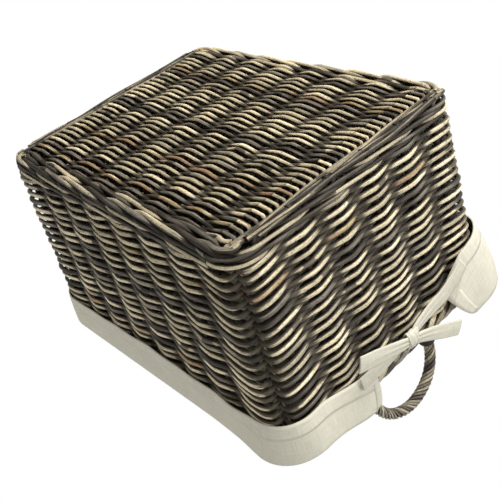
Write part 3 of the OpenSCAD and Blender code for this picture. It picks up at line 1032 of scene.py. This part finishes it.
right_face = 2 * corner_x + path_arc
back_face = right_face + 2 * corner_y + path_arc
left_face = back_face + 2 * corner_x + path_arc
front_left = -path_arc / 2
deep_places = (-0.36, -0.20, -0.13, -0.085, -0.045, -0.020, -0.006, 0.0)
deep_hem = (hem_z, 0.240, 0.224, 0.206, 0.204, 0.217, 0.238, 0.252)
# d is how far round the wall a point of the cuff c is. rise lifts the fold there, and spread is how far out
# that takes it. hem is the height of the lower edge, and bulge is how far the cloth stands off the weave.
# shift pulls the skirt sideways, most at the hem, and sooner below the fold the smaller swing is.
cuffs = {
    "front": {
        "start": -path_arc - (corner_y - slot_half),
        "end": right_face + corner_y - slot_half,
        "seed": 21,
        "spread": 0.1,
        "swing": 0.22,
        "shift": lambda d, c: -0.020 * bump_at(d, c["start"], 0.06) + 0.014 * bump_at(d, c["end"], 0.05),
        "rise": lambda d, c: (0.021 * bump_at(d, c["start"], 0.10)
                              + 0.007 * bump_at(d, front_left + 0.02, 0.12)),
        "hem": lambda d, c: (hem_z + 0.016 * bump_at(d, c["start"], 0.07)
                             + 0.008 * bump_at(d, c["end"], 0.08) - 0.006 * bump_at(d, corner_x, 0.22)),
        "bulge": lambda d, c: (0.0025 + 0.006 * bump_at(d, front_left, 0.09)
                               + 0.004 * bump_at(d, c["start"], 0.06)),
    },
    "back": {
        "start": right_face + corner_y + slot_half + 0.012,
        "end": left_face + corner_y - 0.135,
        "seed": 23,
        "spread": 0.4,
        "swing": 0.6,
        "shift": lambda d, c: (-0.014 * bump_at(d, c["start"], 0.06)
                               + 0.046 * ramp(c["end"] - d, 0.040) ** 1.3),
        "rise": lambda d, c: 0.013 * ramp(c["end"] - d, 0.07) ** 1.2,
        "hem": lambda d, c: float(np.interp(d - c["end"], deep_places, deep_hem)),
        "bulge": lambda d, c: 0.003 + 0.021 * ramp(abs(d - c["end"] + 0.048), 0.095) ** 1.2,
    },
}


def cuff_top(cuff, distance):
    """How far the cloth stands off the weave there, how far out the fold moves, and the fold's height."""
    stand = cuff["bulge"](distance, cuff)
    rise = cuff["rise"](distance, cuff)
    return stand, 0.85 * max(0.0, stand - 0.003) + cuff["spread"] * rise, rise


def cuff_point(cuff, distance, row):
    """A point of a cuff: across the border, over its shoulder, then down the skirt to the hem."""
    stand, over, rise = cuff_top(cuff, distance)
    edge = skirt_radius + over - SHOULDER
    if row < CUFF_ROWS["top"]:
        share = row / CUFF_ROWS["top"]
        z = fold_high.z - FOLD_IN + 0.0022 * math.sin(math.pi * share) + rise * share ** 0.7
        return round_point(distance, fold_radius + (edge - fold_radius) * share, z)
    row -= CUFF_ROWS["top"]
    if row < CUFF_ROWS["shoulder"]:
        turn = math.pi / 2 * row / CUFF_ROWS["shoulder"]
        z = fold_high.z - FOLD_IN + rise - SHOULDER * (1 - math.cos(turn))
        return round_point(distance, edge + SHOULDER * math.sin(turn), z)
    return skirt_point(cuff, distance, (row - CUFF_ROWS["shoulder"]) / CUFF_ROWS["skirt"])


def skirt_point(cuff, distance, share, lift=0.0):
    """A point of a cuff's skirt, that share of the way down to its hem, lifted off the cloth by so much."""
    stand, over, rise = cuff_top(cuff, distance)
    top = fold_high.z - FOLD_IN + rise - SHOULDER
    z = top + (cuff["hem"](distance, cuff) - top) * share
    pulled = min(1.0, bump_at(distance, cuff["start"], 0.06) + bump_at(distance, cuff["end"], 0.06))
    hang = pulled + (1 - pulled) * (1 - share) ** 0.8
    free = skirt_radius + 0.0025 - stake_radius(fold_high.z) - WEAVE_OUT
    against = stake_radius(z) + WEAVE_OUT + free * hang
    loose = 0.25 * stand * math.sin(math.pi * share)
    wave = 0.0020 * share * float(ripple(distance, z, cuff["seed"]))
    radius = against + over * (1 - share) ** 1.15 + loose + wave
    shifted = distance + cuff["shift"](distance, cuff) * share ** cuff["swing"]
    return round_point(shifted, radius + lift, z)


for name, cuff in cuffs.items():
    distances = np.linspace(cuff["start"], cuff["end"], CUFF_COLUMNS)
    grid = [[cuff_point(cuff, distance, row) for distance in distances]
            for row in range(sum(CUFF_ROWS.values()) + 1)]
    sheet = canvas_sheet(f"liner_cuff_cloth_{name}", grid[::-1], plain_canvas)
    drops = [fold_high.z - cuff["hem"](distance, cuff) for distance in distances]
    band = [[skirt_point(cuff, distance, 1 - share * HEM / drop, HEM_LIFT)
             for distance, drop in zip(distances, drops)] for share in np.linspace(0, 1, 6)]
    hems = [(canvas_sheet(f"cuff_hem_band_{name}", band, hem_canvas, HEM_CLOTH), f"cuff_hem_{name}")]
    for place, end in (("start", 1), ("end", -1)):
        inside = [cuff[place] + end * SLOT_HEM * share for share in np.linspace(0, 1, 5)][::end]
        band = [[skirt_point(cuff, distance, down, SLOT_LIFT) for down in np.linspace(0.04, 0.66, 12)]
                for distance in inside]
        slot = "left" if (place == "start") == (name == "front") else "right"
        slot_hem = canvas_sheet(f"slot_hem_{slot}_{name}", band, slot_canvas, HEM_CLOTH)
        hems.append((slot_hem, f"slot_hems_{slot}"))
    for hem, node in hems:
        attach(hem, "liner")
        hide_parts(node)
    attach(sheet, "liner")
    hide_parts(f"liner_cuff_{name}")
    run = cuff["end"] - cuff["start"] + math.pi * (skirt_radius - PATH_RADIUS)
    deepest = max(drops) + skirt_radius - fold_radius
    usual = sum(drops) / len(drops) + skirt_radius - fold_radius
    run * usual

# ---- Liner: ties
# Flat canvas straps are sewn to the lower corner of each cuff at the slots. They are tied over each handle's
# feet in one flat knot, with the loose tails lying across them.
TAPE_ROWS, TAPE_COLUMNS = 13, 44
KNOT_ROWS, KNOT_COLUMNS = 9, 40
KNOT_OUT = 0.2830
knot_low, knot_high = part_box("knot_left")
knot_z = (knot_low.z + knot_high.z) / 2


def tape_grid(way, line, widths, puckers):
    """Rows across and columns along a flat tape on the end face. The line gives how far out, y and z."""
    outs = np.array((way, 0.0, 0.0))
    smooth = np.linspace(0, len(line) - 1, TAPE_COLUMNS)
    whole = np.arange(len(line))
    line = np.array([(way * out, y, z) for out, y, z in line])
    points = np.stack([np.interp(smooth, whole, line[:, axis]) for axis in range(3)], 1)
    for _ in range(6):
        points[1:-1] = (points[:-2] + points[1:-1] * 2 + points[2:]) / 4
    widths = np.interp(smooth, whole, widths)
    puckers = np.interp(smooth, whole, puckers)
    along = np.gradient(points, axis=0)
    along /= np.linalg.norm(along, axis=1)[:, None]
    across = np.cross(outs, along)
    across /= np.linalg.norm(across, axis=1)[:, None]
    rows_here = []
    for share in np.linspace(-1, 1, TAPE_ROWS):
        fold = puckers * math.cos(3 * math.pi * share) + 0.0004 * math.cos(math.pi * share)
        rows_here.append(points + across * (widths / 2 * share)[:, None] + outs * fold[:, None])
    return np.array(rows_here)


# For each tape, its line over the left end (out, y, z), its widths and its puckers in millimetres along it.
tapes = {
    ("front", "strap"): (
        [(0.2765, -0.084, 0.262), (0.2790, -0.060, 0.259), (0.2800, -0.036, 0.257), (0.2805, -0.012, 0.256),
         (0.2810, 0.004, 0.256)],
        (22, 22, 21, 16, 12), (0, 0, 0.4, 1.2, 1.2)),
    ("front", "tail"): (
        [(0.2860, 0.010, 0.258), (0.2865, -0.010, 0.251), (0.2870, -0.036, 0.240), (0.2860, -0.062, 0.230),
         (0.2850, -0.087, 0.221)],
        (12, 17, 21, 23, 23), (1.0, 0.9, 0.3, 0, 0)),
    ("back", "strap"): (
        [(0.2800, 0.127, 0.2195), (0.2815, 0.106, 0.231), (0.2810, 0.080, 0.241), (0.2800, 0.053, 0.2445),
         (0.2805, 0.026, 0.249), (0.2815, 0.006, 0.256)],
        (23, 23, 23, 22, 16, 12), (0, 0, 0, 0.4, 1.2, 1.2)),
    ("back", "tail"): (
        [(0.2855, 0.000, 0.256), (0.2865, 0.020, 0.262), (0.2870, 0.044, 0.275), (0.2860, 0.070, 0.292),
         (0.2850, 0.098, 0.310)],
        (12, 16, 20, 22, 22), (1.0, 0.9, 0.3, 0, 0)),
}
right_back_strap = [(0.2775, 0.084, 0.258), (0.2790, 0.062, 0.258), (0.2795, 0.040, 0.257),
                    (0.2800, 0.024, 0.257), (0.2805, 0.012, 0.256), (0.2810, 0.002, 0.256)]
for end, way in (("left", -1), ("right", 1)):
    for (name, part), (line, widths, puckers) in tapes.items():
        if end == "right" and (name, part) == ("back", "strap"):
            line = right_back_strap
        if end == "right" and part == "tail":
            droop = 1 if name == "back" else -0.5
            line = [(out, y, z - 0.012 * (abs(y) / 0.09) * droop) for out, y, z in line]
        grid = tape_grid(way, line, np.array(widths) / 1000, np.array(puckers) / 1000)
        tape = canvas_sheet(f"tie_{part}_{name}_{end}", grid, tie_canvas, TIE_CLOTH)
        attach(tape, "liner")
        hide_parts(f"tie_{name}_{end}")
    for number, (lean, size) in enumerate(((0.15, 1.0), (-0.5, 0.86)), 1):
        grid = np.zeros((KNOT_ROWS, KNOT_COLUMNS, 3))
        for row, share in enumerate(np.linspace(-1, 1, KNOT_ROWS)):
            for column, turn in enumerate(np.linspace(-0.3, 2 * math.pi + 0.5, KNOT_COLUMNS)):
                spiral = 1 + 0.05 * column / (KNOT_COLUMNS - 1)
                x = KNOT_OUT + 0.0052 * size * spiral * math.cos(turn) + 0.0005 * math.cos(5 * share)
                y = 0.006 + share * 0.0065 * (1 + 0.25 * math.cos(turn) ** 2) + lean * 0.012 * math.sin(turn)
                z = knot_z - 0.003 + 0.0125 * size * spiral * math.sin(turn)
                grid[row, column] = (way * x, y, z)
        wrap = canvas_sheet(f"knot_turn_{number}_{end}", grid, tie_canvas, TIE_CLOTH)
        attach(wrap, "liner")
        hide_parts(f"knot_{end}")
